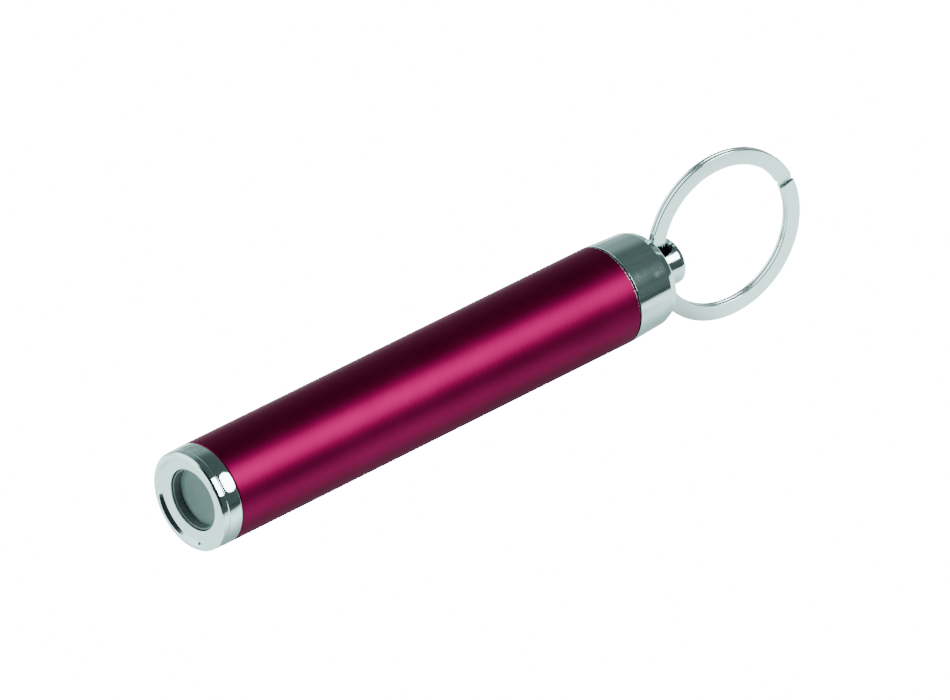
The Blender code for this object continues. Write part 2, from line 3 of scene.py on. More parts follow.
import bmesh
import bpy
from mathutils import Matrix, Vector


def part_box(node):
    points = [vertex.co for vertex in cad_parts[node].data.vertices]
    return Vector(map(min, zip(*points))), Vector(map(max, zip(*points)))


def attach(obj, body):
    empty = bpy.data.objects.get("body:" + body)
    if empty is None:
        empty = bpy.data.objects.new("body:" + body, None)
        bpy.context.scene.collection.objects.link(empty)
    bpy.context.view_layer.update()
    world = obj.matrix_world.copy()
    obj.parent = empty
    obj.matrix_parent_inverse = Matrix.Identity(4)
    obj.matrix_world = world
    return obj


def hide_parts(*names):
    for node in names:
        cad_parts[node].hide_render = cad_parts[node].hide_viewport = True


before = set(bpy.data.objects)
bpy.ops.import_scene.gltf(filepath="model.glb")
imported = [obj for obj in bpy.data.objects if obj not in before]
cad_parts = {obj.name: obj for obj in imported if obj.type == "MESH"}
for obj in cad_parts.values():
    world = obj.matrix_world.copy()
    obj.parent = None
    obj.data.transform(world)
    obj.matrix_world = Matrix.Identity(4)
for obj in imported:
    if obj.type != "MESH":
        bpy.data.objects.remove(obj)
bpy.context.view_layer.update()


# === Barrel ===========================================================================
# A drawn aluminium tube, turned inside, bead-blasted outside and anodised raspberry. Its
# edges are broken after anodising, so a thin line of bare metal shows at the tail; it is
# kept to the upper half as a painted highlight. The bore is left plain at the tail, without
# the thread that takes the switch cap.

barrel_low, barrel_high = (Vector(corner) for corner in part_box("barrel"))
FRONT = barrel_low.x
AXIS_HEIGHT = (barrel_low.z + barrel_high.z) / 2
BARREL_LENGTH = barrel_high.x - barrel_low.x
BARREL_RADIUS = (barrel_high.z - barrel_low.z) / 2


class Value:
    """A socket in a node tree. Arithmetic on it adds the Math nodes."""

    def __init__(self, tree, socket):
        self.tree = tree
        self.socket = socket

    def maths(self, operation, *terms, clamp=False):
        node = self.tree.nodes.new("ShaderNodeMath")
        node.operation = operation
        node.use_clamp = clamp
        for place, term in zip(node.inputs, terms):
            if isinstance(term, Value):
                self.tree.links.new(term.socket, place)
            else:
                place.default_value = term
        return Value(self.tree, node.outputs[0])

    def __add__(self, other):
        return self.maths("ADD", self, other)

    def __radd__(self, other):
        return self.maths("ADD", other, self)

    def __sub__(self, other):
        return self.maths("SUBTRACT", self, other)

    def __rsub__(self, other):
        return self.maths("SUBTRACT", other, self)

    def __mul__(self, other):
        return self.maths("MULTIPLY", self, other)

    def __rmul__(self, other):
        return self.maths("MULTIPLY", other, self)

    def __pow__(self, other):
        return self.maths("POWER", self, other)

    def larger(self, other):
        return self.maths("MAXIMUM", self, other)

    def size(self):
        return self.maths("ABSOLUTE", self)

    def clamped(self):
        return self.maths("ADD", self, 0.0, clamp=True)


class Shading:
    """A node tree that is built by name: settings first, then values and links."""

    def __init__(self, tree):
        self.tree = tree
        self.tree.nodes.clear()

    def node(self, kind, values=None, output=0, **settings):
        node = self.tree.nodes.new("ShaderNode" + kind)
        for key, setting in settings.items():
            setattr(node, key, setting)
        for key, value in (values or {}).items():
            if isinstance(value, Value):
                self.tree.links.new(value.socket, node.inputs[key])
            else:
                node.inputs[key].default_value = value
        return Value(self.tree, node.outputs[output]) if node.outputs else None

    def blend(self, share, first, second):
        """Mixes two colours."""
        first, second = (
            colour if isinstance(colour, Value) else (*colour, 1.0) for colour in (first, second)
        )
        return self.node("Mix", {0: share, 6: first, 7: second}, 2, data_type="RGBA")

    def ramp(self, value, start, end, low=0.0, high=1.0):
        """Eases value from low at start to high at end."""
        inputs = {"Value": value, "From Min": start, "From Max": end, "To Min": low, "To Max": high}
        return self.node("MapRange", inputs, interpolation_type="SMOOTHSTEP")


class Finish(Shading):
    """A material on one Principled shader, with its patterns in millimetres on the piece."""

    def __init__(self, name, **constants):
        self.material = bpy.data.materials.new(name)
        self.material.use_nodes = True
        super().__init__(self.material.node_tree)
        self.shader = self.tree.nodes.new("ShaderNodeBsdfPrincipled")
        for key, value in constants.items():
            self.shader.inputs[key.replace("_", " ")].default_value = value
        end = self.tree.nodes.new("ShaderNodeOutputMaterial")
        self.tree.links.new(self.shader.outputs[0], end.inputs["Surface"])
        self.place = self.node("TexCoord", output=3)

    def along(self, axis):
        """The place on the piece along one axis, in metres."""
        return self.node("SeparateXYZ", {"Vector": self.place}, "XYZ".index(axis))

    def off_axis_squared(self):
        """The square of the distance from the torch's axis."""
        return self.along("Y") ** 2.0 + (self.along("Z") - AXIS_HEIGHT) ** 2.0

    def noise(self, scale, detail=3.0, stretch=(1, 1, 1), rough=0.5):
        """Noise with scale bumps to the millimetre."""
        size = tuple(1000 * share for share in stretch)
        spread = self.node("Mapping", {"Vector": self.place, "Scale": size})
        inputs = {"Vector": spread, "Scale": scale, "Detail": detail, "Roughness": rough}
        return self.node("TexNoise", inputs)

    def feed(self, **values):
        for key, value in values.items():
            self.tree.links.new(value.socket, self.shader.inputs[key.replace("_", " ")])

    def bump(self, height, depth):
        """Raises the surface by height times depth, in metres."""
        self.feed(Normal=self.node("Bump", {"Height": height, "Distance": depth, "Strength": 1.0}))


def surface(name, colours, roughness, grain, relief=0.0, stretch=(1, 1, 1), **constants):
    """A finish whose colour and roughness wander, with a fine grain in its relief."""
    finish = Finish(name, **constants)
    drift = finish.noise(0.22, 4.0)
    fine = finish.noise(grain, 3.0, stretch)
    finish.colour = finish.blend(finish.ramp(drift, 0.3, 0.7), *colours)
    low, high = roughness
    finish.rough = low + (high - low) * (0.6 * drift + 0.4 * fine).clamped()
    finish.feed(Base_Color=finish.colour, Roughness=finish.rough)
    if relief:
        finish.bump(fine, relief)
    return finish


def eased(corners, radius, steps=4):
    """Rounds the corners of an outline. A third number on a corner is its own rounding."""
    closed = corners[0][1] > 0
    points = []
    for index, corner in enumerate(corners):
        here = Vector(corner[:2])
        if not closed and index in (0, len(corners) - 1):
            points.append(tuple(here))
            continue
        before = Vector(corners[index - 1][:2]) - here
        after = Vector(corners[(index + 1) % len(corners)][:2]) - here
        turn = math.pi - before.angle(after)
        if turn < (0.05 if len(corner) > 2 else 0.35):
            points.append(tuple(here))
            continue
        wanted = (corner[2] if len(corner) > 2 else radius) * math.tan(turn / 2)
        reach = min(wanted, 0.48 * before.length, 0.48 * after.length)
        start = here + before.normalized() * reach
        end = here + after.normalized() * reach
        for step in range(steps + 1):
            share = step / steps
            point = start * (1 - share) ** 2 + here * (2 * share * (1 - share)) + end * share**2
            points.append(tuple(point))
    return points


def arc(centre, radius, start, end, steps):
    """Points (station, radius) round a centre: 0 degrees faces the tail, 90 faces outwards."""
    turns = [math.radians(start + (end - start) * step / steps) for step in range(steps + 1)]
    return [(centre[0] + radius * math.cos(t), centre[1] + radius * math.sin(t)) for t in turns]


def on_torch(station, across, up):
    return (FRONT + station, across, AXIS_HEIGHT + up)


def shaded(obj, sharp=35):
    """Smooth shading that keeps sharp edges crisp and flat faces flat."""
    obj.data.shade_smooth()
    obj.data.set_sharp_from_angle(angle=math.radians(sharp))
    weighted = obj.modifiers.new("weighted", "WEIGHTED_NORMAL")
    weighted.keep_sharp = True
    return plain(obj)


def plain(obj):
    """Turns the object's modifiers into plain mesh."""
    graph = bpy.context.evaluated_depsgraph_get()
    mesh = bpy.data.meshes.new_from_object(obj.evaluated_get(graph))
    obj.modifiers.clear()
    obj.data = mesh
    return obj


def piece_of(name, bm):
    bmesh.ops.recalc_face_normals(bm, faces=bm.faces)
    mesh = bpy.data.meshes.new(name)
    bm.to_mesh(mesh)
    bm.free()
    obj = bpy.data.objects.new(name, mesh)
    bpy.context.scene.collection.objects.link(obj)
    return obj


def lathed(name, outline, segments=160, thread=None, place=on_torch):
    """Turns (station, radius) points round an axis into one closed mesh."""
    bm = bmesh.new()
    rows = []
    for station, radius in outline:
        row = []
        for step in range(segments if radius > 0 else 1):
            angle = math.tau * step / segments
            reach = radius + (thread(station, radius, angle) if thread else 0.0)
            across, up = reach * math.cos(angle), reach * math.sin(angle)
            row.append(bm.verts.new(place(station, across, up)))
        rows.append(row)
    pairs = list(zip(rows, rows[1:]))
    if len(rows[0]) > 1 and len(rows[-1]) > 1:
        pairs.append((rows[-1], rows[0]))
    for first, second in pairs:
        for step in range(segments):
            following = (step + 1) % segments
            ring = (
                first[step % len(first)], first[following % len(first)],
                second[following % len(second)], second[step % len(second)],
            )
            bm.faces.new(list(dict.fromkeys(ring)))
    return piece_of(name, bm)


def installed(obj, finish, node, body):
    """Gives a finished piece its material and its place in the assembly."""
    obj.data.materials.clear()
    obj.data.materials.append(finish.material)
    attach(obj, body)
    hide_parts(node)
    return obj


HEAD_BORE, HEAD_DEPTH = 0.0071, 0.020
CELL_BORE = 0.0056
TAIL_BORE, TAIL_BORE_FRONT = 0.0062, 0.0707
SEAL_BORE, SEAL_BORE_FRONT = 0.0067, 0.078
tube = shaded(lathed("barrel_tube", eased([
    (0.0, HEAD_BORE, 0.00005), (0.0, BARREL_RADIUS), (BARREL_LENGTH, BARREL_RADIUS, 0.0001),
    (BARREL_LENGTH, SEAL_BORE, 0.00012), (SEAL_BORE_FRONT, SEAL_BORE, 0.00008),
    (0.0775, TAIL_BORE, 0.00003), (TAIL_BORE_FRONT, TAIL_BORE, 0.00003),
    (0.0702, CELL_BORE, 0.0001), (HEAD_DEPTH, CELL_BORE, 0.0001),
    (HEAD_DEPTH, HEAD_BORE, 0.0001),
], 0.00014), 224))

anodised = Finish("anodised_satin", Metallic=1.0, Specular_Tint=(0.92, 0.70, 0.80, 1.0))
drift = anodised.noise(0.09, 4.0)
blast = anodised.noise(4.5, 3.0)
drawn = anodised.noise(1.0, 3.0, (6.0, 0.35, 0.35))
tone = anodised.ramp(0.55 * drift + 0.25 * drawn + 0.2 * blast, 0.35, 0.65)
dyed = anodised.blend(tone, (0.156, 0.0010, 0.0365), (0.192, 0.0018, 0.0460))
station = anodised.along("X") - FRONT
ragged = (anodised.noise(2.6, 3.0) - 0.52) * 0.0005
worn_tail = anodised.ramp(station + ragged, BARREL_LENGTH - 0.00017, BARREL_LENGTH - 0.00009)
# The bare line shows only on the upper half: a painted highlight along the seam.
highlit_above = anodised.ramp(anodised.along("Z") - AXIS_HEIGHT, 0.0005, 0.0045)
bare_and_highlit = worn_tail * highlit_above
inside = anodised.ramp(anodised.off_axis_squared(), 0.0074**2, 0.0077**2, 1.0, 0.0)
bare_and_highlit = bare_and_highlit.larger(0.75 * inside)
anodised.feed(
    Base_Color=anodised.blend(bare_and_highlit, dyed, (0.62, 0.64, 0.65)),
    Roughness=0.375 + 0.05 * drift + 0.04 * blast + 0.03 * bare_and_highlit,
)
anodised.bump(0.7 * blast + 0.3 * drawn, 0.0000045)
installed(tube, anodised, "barrel", "torch")


# === Bezel ============================================================================
# A turned brass ring, polished and chrome-plated, screwed into the barrel's mouth until
# its shoulder closes the seam. A rounded rim stands round its shallow dished face, and a
# faint groove runs where the rim meets the crowned side.

chrome = surface(
    "polished_chrome", ((0.69, 0.84, 0.83), (0.76, 0.88, 0.87)), (0.035, 0.075), 5.0, 0.0000003,
    Metallic=1.0,
)
smudge = chrome.ramp(chrome.noise(0.45, 5.0, rough=0.65), 0.52, 0.72)
hairlines = chrome.ramp(chrome.noise(3.0, 2.0, (1.0, 0.05, 0.05)), 0.62, 0.70)
chrome.feed(Roughness=chrome.rough + 0.05 * smudge + 0.03 * hairlines)

crest = -0.003893
face = -0.0029
lens_opening, lens_seat = 0.00495, -0.0020
skirt_radius, skirt_bore, skirt_end = 0.0069, 0.0062, 0.006
crown = 0.0115
crowned = arc((-0.0008, BARREL_RADIUS - crown), crown, 87.5, 97.3, 9)
bezel_outline = eased([
    (-0.0001, skirt_radius, 0.00003), (-0.0001, BARREL_RADIUS - 0.00002, 0.0001), *crowned,
    (crest + 0.00150, 0.00787, 0.0005), (crest + 0.00128, 0.00795, 0.0004),
    (crest + 0.00042, 0.00791, 0.0003), (crest + 0.00014, 0.00773, 0.0003),
    (crest, 0.00746, 0.0004), (crest + 0.00002, 0.00694, 0.0003),
    (crest + 0.00072, 0.00658, 0.0002), (face, 0.00510, 0.0003), (face, lens_opening, 0.00012),
    (lens_seat, lens_opening), (lens_seat, skirt_bore), (skirt_end, skirt_bore),
    (skirt_end, skirt_radius, 0.0002),
], 0.00008, 6)
bezel = shaded(lathed("bezel_ring", bezel_outline, 256), 40)
installed(bezel, chrome, "bezel", "torch")


# === Lens and gasket ==================================================================
# A frosted acrylic disc, seated on a moulded black rubber gasket. The gasket's dark sleeve
# comes forward through the bezel's bore and covers its wall, a dark lining that stands in for
# the shade in the bore. The disc's middle is painted darker, a painted shade for the lamp's
# cup behind it.

rubber = surface(
    "moulded_rubber", ((0.070, 0.082, 0.082), (0.110, 0.122, 0.122)), (0.26, 0.38), 6.0, 0.000003,
)
# The gasket's sleeve is a dark lining put in the bezel's bore, where there is only shade.
gasket = shaded(lathed("lens_gasket", eased([
    (-0.0013, 0.0060), (-0.0019, 0.0060), (-0.0019, 0.00485), (-0.0026, 0.00485),
    (-0.0026, 0.00455), (-0.0013, 0.00455),
], 0.0001)))
installed(gasket, rubber, "lens_seal", "torch")

acrylic = surface(
    "frosted_acrylic", ((0.30, 0.39, 0.38), (0.34, 0.44, 0.43)), (0.30, 0.40), 7.0, 0.000001,
    Transmission_Weight=0.3, IOR=1.49, Specular_IOR_Level=0.08,
)
# Painted shade: the disc's middle is darker, for the lamp's cup behind it.
shaded_middle = acrylic.ramp(acrylic.off_axis_squared(), 0.0018**2, 0.0046**2, 1.0, 0.0)
acrylic.feed(Base_Color=acrylic.blend(shaded_middle, acrylic.colour, (0.185, 0.245, 0.240)))
lens = shaded(lathed("lens_disc", eased([
    (0.0004, 0.0), (0.0004, 0.0060), (-0.0012, 0.0060, 0.00015), (-0.0012, 0.0),
], 0.0001)))
installed(lens, acrylic, "lens", "torch")


# === Lamp =============================================================================
# A white 5 mm light-emitting diode in a metallised plastic cup. Its two tinned leads run
# back through an aluminium holder to the driver board.

mirror = surface(
    "metallised_cup", ((0.84, 0.85, 0.86), (0.90, 0.90, 0.90)), (0.03, 0.10), 4.0, 0.0000005,
    Metallic=1.0,
)
cup_mouth, cup_throat, cup_wall = 0.0054, 0.0027, 0.0006
cup_steps = 16
cup = []
for step in range(cup_steps + 1):
    radius = cup_mouth + (cup_throat - cup_mouth) * step / cup_steps
    fall = (cup_mouth**2 - radius**2) / (cup_mouth**2 - cup_throat**2)
    cup.append((0.0005 + 0.0078 * fall, radius))
shell = [(station, radius + cup_wall) for station, radius in reversed(cup)]
reflector = shaded(lathed("reflector_cup", [
    *cup, (0.0097, cup_throat), (0.0097, cup_throat + cup_wall), *shell,
], 128))
installed(reflector, mirror, "reflector", "torch")

epoxy = surface(
    "lamp_epoxy", ((0.88, 0.88, 0.72), (0.92, 0.93, 0.82)), (0.05, 0.12), 5.0, 0.0000005,
    Transmission_Weight=0.6, IOR=1.53,
)
bulb = shaded(lathed("led_bulb", eased([
    (0.0023, 0.0), *arc((0.0048, 0.0), 0.0025, 180, 90, 14)[1:], (0.0099, 0.0025),
    (0.0099, 0.0029), (0.0109, 0.0029), (0.0109, 0.0),
], 0.00012), 96))
installed(bulb, epoxy, "led_lamp", "torch")


def block(name, low, high, rounding):
    """A box with its edges rounded over."""
    bm = bmesh.new()
    size = Vector(high) - Vector(low)
    middle = (Vector(high) + Vector(low)) / 2
    spread = Matrix.Translation(middle) @ Matrix.Diagonal((*size, 1.0))
    bmesh.ops.create_cube(bm, size=1.0, matrix=spread)
    bmesh.ops.bevel(
        bm, geom=bm.edges[:], offset=rounding, segments=3, profile=0.5, affect="EDGES",
    )
    return piece_of(name, bm)


tin = surface(
    "tinned_lead", ((0.66, 0.66, 0.65), (0.78, 0.78, 0.77)), (0.22, 0.40), 8.0, 0.000002,
    (0.2, 1.0, 1.0), Metallic=1.0,
)
for node, name in (("led_lead_anode", "anode_lead"), ("led_lead_cathode", "cathode_lead")):
    low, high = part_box(node)
    installed(shaded(block(name, low, high, 0.00009)), tin, node, "torch")

aluminium = surface(
    "turned_aluminium", ((0.66, 0.67, 0.68), (0.76, 0.77, 0.78)), (0.25, 0.42), 3.0, 0.000003,
    (6.0, 0.3, 0.3), Metallic=1.0,
)
holder = shaded(lathed("lamp_holder_cup", eased([
    (0.0106, 0.0069, 0.0002), (0.0198, 0.0069, 0.0002), (0.0198, 0.0059, 0.0002),
    (0.0124, 0.0059), (0.0124, 0.0031), (0.0106, 0.0031),
], 0.0001), 128))
installed(holder, aluminium, "lamp_holder", "torch")


# === Driver board =====================================================================
# A round fibreglass board with a step-up driver: a controller chip, a ferrite coil and a
# ceramic capacitor. A nylon ring clamps it in the holder, and a brass button meets the cell.


def on_board(name, node, rounding):
    low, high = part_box(node)
    return shaded(block(name, low, high, rounding))


def cut(base, tool, operation):
    """Cuts or joins base with a tool, which is used up, and makes the result plain."""
    shaping = base.modifiers.new("shaping", "BOOLEAN")
    shaping.operation = operation
    shaping.solver = "EXACT"
    shaping.object = tool
    plain(base)
    bpy.data.objects.remove(tool)
    return base


green = surface(
    "solder_mask", ((0.010, 0.13, 0.050), (0.022, 0.19, 0.075)), (0.25, 0.42), 5.0, 0.000002,
)
tracks = green.noise(1.2, 0.0, (1.0, 2.2, 0.5))
green.feed(Base_Color=green.blend(green.ramp(tracks, 0.52, 0.55), green.colour, (0.03, 0.26, 0.10)))
board = lathed("driver_board", eased([
    (0.0152, 0.0), (0.0152, 0.0057), (0.0162, 0.0057), (0.0162, 0.0),
], 0.00008), 128)
for side, name in ((1, "anode_drill"), (-1, "cathode_drill")):
    drill = lathed(
        name, [(0.0142, 0.0), (0.0142, 0.00055), (0.0172, 0.00055), (0.0172, 0.0)], 24,
        place=lambda s, a, u, side=side: on_torch(s, a + side * 0.00127, u),
    )
    cut(board, drill, "DIFFERENCE")
installed(shaded(board), green, "led_board", "torch")

plastic = surface(
    "chip_moulding", ((0.014, 0.014, 0.016), (0.030, 0.030, 0.032)), (0.35, 0.55), 9.0, 0.000004,
)
installed(on_board("controller_chip", "driver_chip", 0.00012), plastic, "driver_chip", "torch")
ceramic = surface(
    "capacitor_ceramic", ((0.34, 0.22, 0.11), (0.48, 0.33, 0.19)), (0.3, 0.5), 9.0, 0.000003,
)
ends = ceramic.along("Z") - (sum(corner[2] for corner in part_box("driver_capacitor")) / 2)
tinned = ceramic.ramp(ends.size(), 0.00050, 0.00054)
ceramic.feed(
    Base_Color=ceramic.blend(tinned, ceramic.colour, (0.72, 0.72, 0.71)), Metallic=tinned,
)
installed(on_board("input_capacitor", "driver_capacitor", 0.0001), ceramic, "driver_capacitor",
          "torch")

ferrite = surface(
    "coil_ferrite", ((0.060, 0.060, 0.066), (0.110, 0.110, 0.118)), (0.4, 0.6), 7.0, 0.000005,
)
coil_low, coil_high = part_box("driver_coil")
coil_middle = (Vector(coil_low) + Vector(coil_high)) / 2
coil = shaded(lathed("power_coil", eased([
    (coil_low[0] - FRONT, 0.0), (coil_low[0] - FRONT, 0.0014, 0.00015),
    (coil_low[0] - FRONT + 0.0004, 0.0014), (coil_low[0] - FRONT + 0.0005, 0.00115),
    (coil_high[0] - FRONT - 0.0005, 0.00115), (coil_high[0] - FRONT - 0.0004, 0.0014),
    (coil_high[0] - FRONT, 0.0014, 0.00015), (coil_high[0] - FRONT, 0.0),
], 0.00005), 64, place=lambda s, a, u: (FRONT + s, coil_middle.y + a, coil_middle.z + u)))
installed(coil, ferrite, "driver_coil", "torch")

nylon = surface(
    "natural_nylon", ((0.70, 0.69, 0.64), (0.80, 0.79, 0.75)), (0.4, 0.55), 4.0, 0.000004,
    Subsurface_Weight=0.1,
)
clamp = shaded(lathed("board_clamp_ring", eased([
    (0.0164, 0.0057), (0.0198, 0.0057), (0.0198, 0.0049), (0.0164, 0.0049),
], 0.00015), 128))
installed(clamp, nylon, "board_clamp", "torch")

brass = surface(
    "contact_brass", ((0.70, 0.50, 0.20), (0.82, 0.61, 0.28)), (0.16, 0.34), 4.0, 0.000002,
    (4.0, 0.4, 0.4), Metallic=1.0,
)
button = shaded(lathed("contact_button", eased([
    (0.0164, 0.0), (0.0164, 0.0007), (0.0193, 0.0007), (0.0193, 0.0018), (0.0201, 0.0018, 0.0003),
    (0.0201, 0.0),
], 0.00008), 96))
installed(button, brass, "cell_contact", "torch")


# === Cell =============================================================================
# One AAA alkaline cell in a printed shrink sleeve: dark blue, with a copper band at the
# positive end. The sleeve turns in over the rolled ends of a nickel-plated can.

sleeve = surface(
    "cell_sleeve", ((0.018, 0.035, 0.115), (0.030, 0.050, 0.150)), (0.22, 0.38), 3.0, 0.000002,
    Coat_Weight=0.3, Coat_Roughness=0.15,
)
cell_station = sleeve.along("X") - FRONT
band = sleeve.ramp(cell_station, 0.0318, 0.0320, 1.0, 0.0)
seam_line = sleeve.along("Y") + 0.3 * (sleeve.noise(0.3) - 0.5) * 0.0002
seam_line = sleeve.ramp(seam_line.size(), 0.00008, 0.00016, 0.35, 0.0)
printed = sleeve.blend(band, sleeve.colour, (0.46, 0.20, 0.075))
printed = sleeve.blend(seam_line, printed, (0.01, 0.01, 0.012))
can_end = sleeve.ramp(sleeve.off_axis_squared(), 0.0041**2, 0.0043**2, 1.0, 0.0)
sleeve.feed(
    Base_Color=sleeve.blend(can_end, printed, (0.70, 0.71, 0.70)),
    Metallic=0.1 + 0.5 * band + 0.8 * can_end,
)
cell = shaded(lathed("cell_body", eased([
    (0.0216, 0.0), (0.0216, 0.00415), (0.0213, 0.00435), (0.0213, 0.00485, 0.0003),
    (0.0217, 0.00525, 0.0003), (0.0644, 0.00525, 0.0003), (0.0648, 0.00485, 0.0003),
    (0.0648, 0.00435), (0.0645, 0.00415), (0.0645, 0.0),
], 0.0001), 144))
installed(cell, sleeve, "cell_can", "torch")

nickel = surface(
    "nickel_plate", ((0.70, 0.735, 0.71), (0.78, 0.80, 0.78)), (0.12, 0.22), 6.0, 0.0000012,
    Metallic=1.0,
)
scuffs = nickel.ramp(nickel.noise(1.1, 6.0, rough=0.7), 0.55, 0.75)
nickel.feed(Roughness=nickel.rough + 0.10 * scuffs)
nub = shaded(lathed("cell_positive_cap", eased([
    (0.0203, 0.0), (0.0203, 0.0019, 0.0004), (0.0212, 0.0019, 0.0002), (0.0212, 0.0039),
    (0.0215, 0.0039), (0.0215, 0.0),
], 0.0001), 96))
installed(nub, nickel, "cell_nub", "torch")


# === Spring and its seat ==============================================================
# A conical spring of round steel wire with a closed coil at each end, standing on a
# stamped brass disc. Both slide with the cap but don't turn with it.


def wound(name, **values):
    """Sweeps a rounded flat section along a wound path; place it afterwards in the mesh."""
    tree = bpy.data.node_groups.new(name, "GeometryNodeTree")
    tree.is_modifier = True
    panel = tree.interface
    panel.new_socket("Geometry", in_out="INPUT", socket_type="NodeSocketGeometry")
    panel.new_socket("Geometry", in_out="OUTPUT", socket_type="NodeSocketGeometry")
    sockets = {
        key: panel.new_socket(key, in_out="INPUT", socket_type="NodeSocketFloat") for key in (
            "Sweep", "Start Angle", "First Radius", "Last Radius", "First Lift", "Last Lift",
            "Climb From", "Climb To", "Wire Width", "Wire Height", "Wire Rounding",
        )
    }
    steps = panel.new_socket("Steps", in_out="INPUT", socket_type="NodeSocketInt")
    metal = panel.new_socket("Metal", in_out="INPUT", socket_type="NodeSocketMaterial")

    def add(kind, links=None, **settings):
        node = tree.nodes.new(kind)
        for key, setting in settings.items():
            setattr(node, key, setting)
        for key, source in (links or {}).items():
            if hasattr(source, "is_output"):
                tree.links.new(source, node.inputs[key])
            else:
                node.inputs[key].default_value = source
        return node

    def maths(operation, first, second):
        return add("ShaderNodeMath", {0: first, 1: second}, operation=operation).outputs[0]

    given = add("NodeGroupInput").outputs
    line = add("GeometryNodeCurvePrimitiveLine", {"End": (1.0, 0.0, 0.0)})
    resampled = add("GeometryNodeResampleCurve", {
        "Curve": line.outputs["Curve"], "Count": given["Steps"],
    })
    share = add("GeometryNodeSplineParameter").outputs["Factor"]
    angle = maths("ADD", given["Start Angle"], maths("MULTIPLY", share, given["Sweep"]))

    def climbing(first, last):
        return add("ShaderNodeMapRange", {
            "Value": share, "From Min": given["Climb From"], "From Max": given["Climb To"],
            "To Min": given[first], "To Max": given[last],
        }, interpolation_type="SMOOTHSTEP").outputs[0]

    reach = climbing("First Radius", "Last Radius")
    cosine = add("ShaderNodeMath", {0: angle}, operation="COSINE").outputs[0]
    sine = add("ShaderNodeMath", {0: angle}, operation="SINE").outputs[0]
    place = add("ShaderNodeCombineXYZ", {
        "X": maths("MULTIPLY", reach, cosine), "Y": maths("MULTIPLY", reach, sine),
        "Z": climbing("First Lift", "Last Lift"),
    })
    laid = add("GeometryNodeSetPosition", {
        "Geometry": resampled.outputs[0], "Position": place.outputs[0],
    })
    level = add("GeometryNodeSetCurveNormal", {"Curve": laid.outputs[0]})
    level.mode = "Z_UP"
    section = add("GeometryNodeCurvePrimitiveQuadrilateral", {
        "Width": given["Wire Width"], "Height": given["Wire Height"],
    })
    soft = add("GeometryNodeFilletCurve", {
        "Curve": section.outputs[0], "Radius": given["Wire Rounding"],
    })
    soft.mode = "POLY"
    soft.inputs["Count"].default_value = 4
    swept = add("GeometryNodeCurveToMesh", {
        "Curve": level.outputs[0], "Profile Curve": soft.outputs[0], "Fill Caps": True,
    })
    real = add("GeometryNodeRealizeInstances", {"Geometry": swept.outputs[0]})
    covered = add("GeometryNodeSetMaterial", {
        "Geometry": real.outputs[0], "Material": given["Metal"],
    })
    tree.links.new(covered.outputs[0], add("NodeGroupOutput").inputs[0])

    obj = piece_of(name, bmesh.new())
    winding = obj.modifiers.new("winding", "NODES")
    winding.node_group = tree
    winding[steps.identifier] = values.pop("steps")
    winding[metal.identifier] = values.pop("metal").material
    for key, value in values.items():
        winding[sockets[key.replace("_", " ").title()].identifier] = value
    plain(obj)
    bm = bmesh.new()
    bm.from_mesh(obj.data)
    bmesh.ops.remove_doubles(bm, verts=bm.verts, dist=1e-7)
    bmesh.ops.recalc_face_normals(bm, faces=bm.faces)
    bm.to_mesh(obj.data)
    bm.free()
    return obj


steel = surface(
    "spring_steel", ((0.56, 0.57, 0.58), (0.66, 0.67, 0.68)), (0.2, 0.36), 9.0, 0.000002,
    Metallic=1.0,
)
spring_wire = 0.00035
spring_start, spring_end = 0.0650 + spring_wire, 0.08115 - spring_wire
turns = 6
spring = wound(
    "coil_spring", sweep=math.tau * turns, start_angle=0.0, first_radius=0.0026, last_radius=0.0034,
    first_lift=spring_start, last_lift=spring_end, climb_from=0.6 / turns,
    climb_to=1 - 0.6 / turns, wire_width=2 * spring_wire, wire_height=2 * spring_wire,
    wire_rounding=0.98 * spring_wire, steps=420, metal=steel,
)
# The winding's own axis is Z, and the torch's is X.
laid_down = Matrix.Translation(on_torch(0, 0, 0)) @ Matrix.Rotation(math.pi / 2, 4, "Y")
spring.data.transform(laid_down)
installed(shaded(spring), steel, "tail_spring", "spring_carrier")

seat = shaded(lathed("spring_seat_disc", eased([
    (0.08135, 0.0), (0.08135, 0.0020), (0.08145, 0.0022), (0.08145, 0.0028), (0.08135, 0.0030),
    (0.08135, 0.0047), (0.08185, 0.0047), (0.08185, 0.0),
], 0.00008), 112))
installed(seat, brass, "spring_seat", "spring_carrier")


# === Tail cap =========================================================================
# Turned and chromed like the bezel. A threaded spigot carries its seal and the spring's
# seat into the barrel, and screwing it home closes the switch. The boss on its back is
# joined with a small fillet and cross-drilled for the split ring.

SHOULDER = 0.08035
CAP_BACK = SHOULDER + 0.0086
BOSS_END = CAP_BACK + 0.0046
HOLE_AT = BOSS_END - 0.0029
BOSS_RISE = 0.0008
SPIGOT_FRONT = SHOULDER - 0.0090
SPIGOT_RADIUS = 0.0060
POCKET_RADIUS, POCKET_END = 0.0049, 0.08205
SEAL_GROOVE, SEAL_GROOVE_FRONT, SEAL_GROOVE_BACK = 0.0056, 0.0782, 0.0794
SEATED = SHOULDER - 0.00004
THREAD_PITCH = 0.001
THREAD_FRONT = 0.07275
THREAD_LENGTH = 0.0045


def thread_height(station, angle, foot, crest, depth):
    """How far a right-hand ridge stands up at a station and an angle round the torch."""
    turn = (station - THREAD_FRONT) / THREAD_PITCH - (angle + math.pi / 2) / math.tau
    apart = abs((turn + 0.5) % 1.0 - 0.5) * THREAD_PITCH
    return depth * min(max((foot - apart) / (foot - crest), 0.0), 1.0)


def thread_rows(start, end, radius):
    """Stations close enough together to carry a thread."""
    count = round((end - start) / THREAD_PITCH * 12)
    return [(start + (end - start) * step / count, radius) for step in range(count + 1)]


def cap_thread(station, radius, angle):
    start, end = SPIGOT_FRONT + 0.0008, THREAD_FRONT + THREAD_LENGTH
    if not start < station < end or radius < 0.0058:
        return 0.0
    fade = min((station - start) / 0.0006, (end - station) / 0.0005, 1.0)
    return fade * thread_height(station, angle, 0.00041, 0.00008, 0.00045)


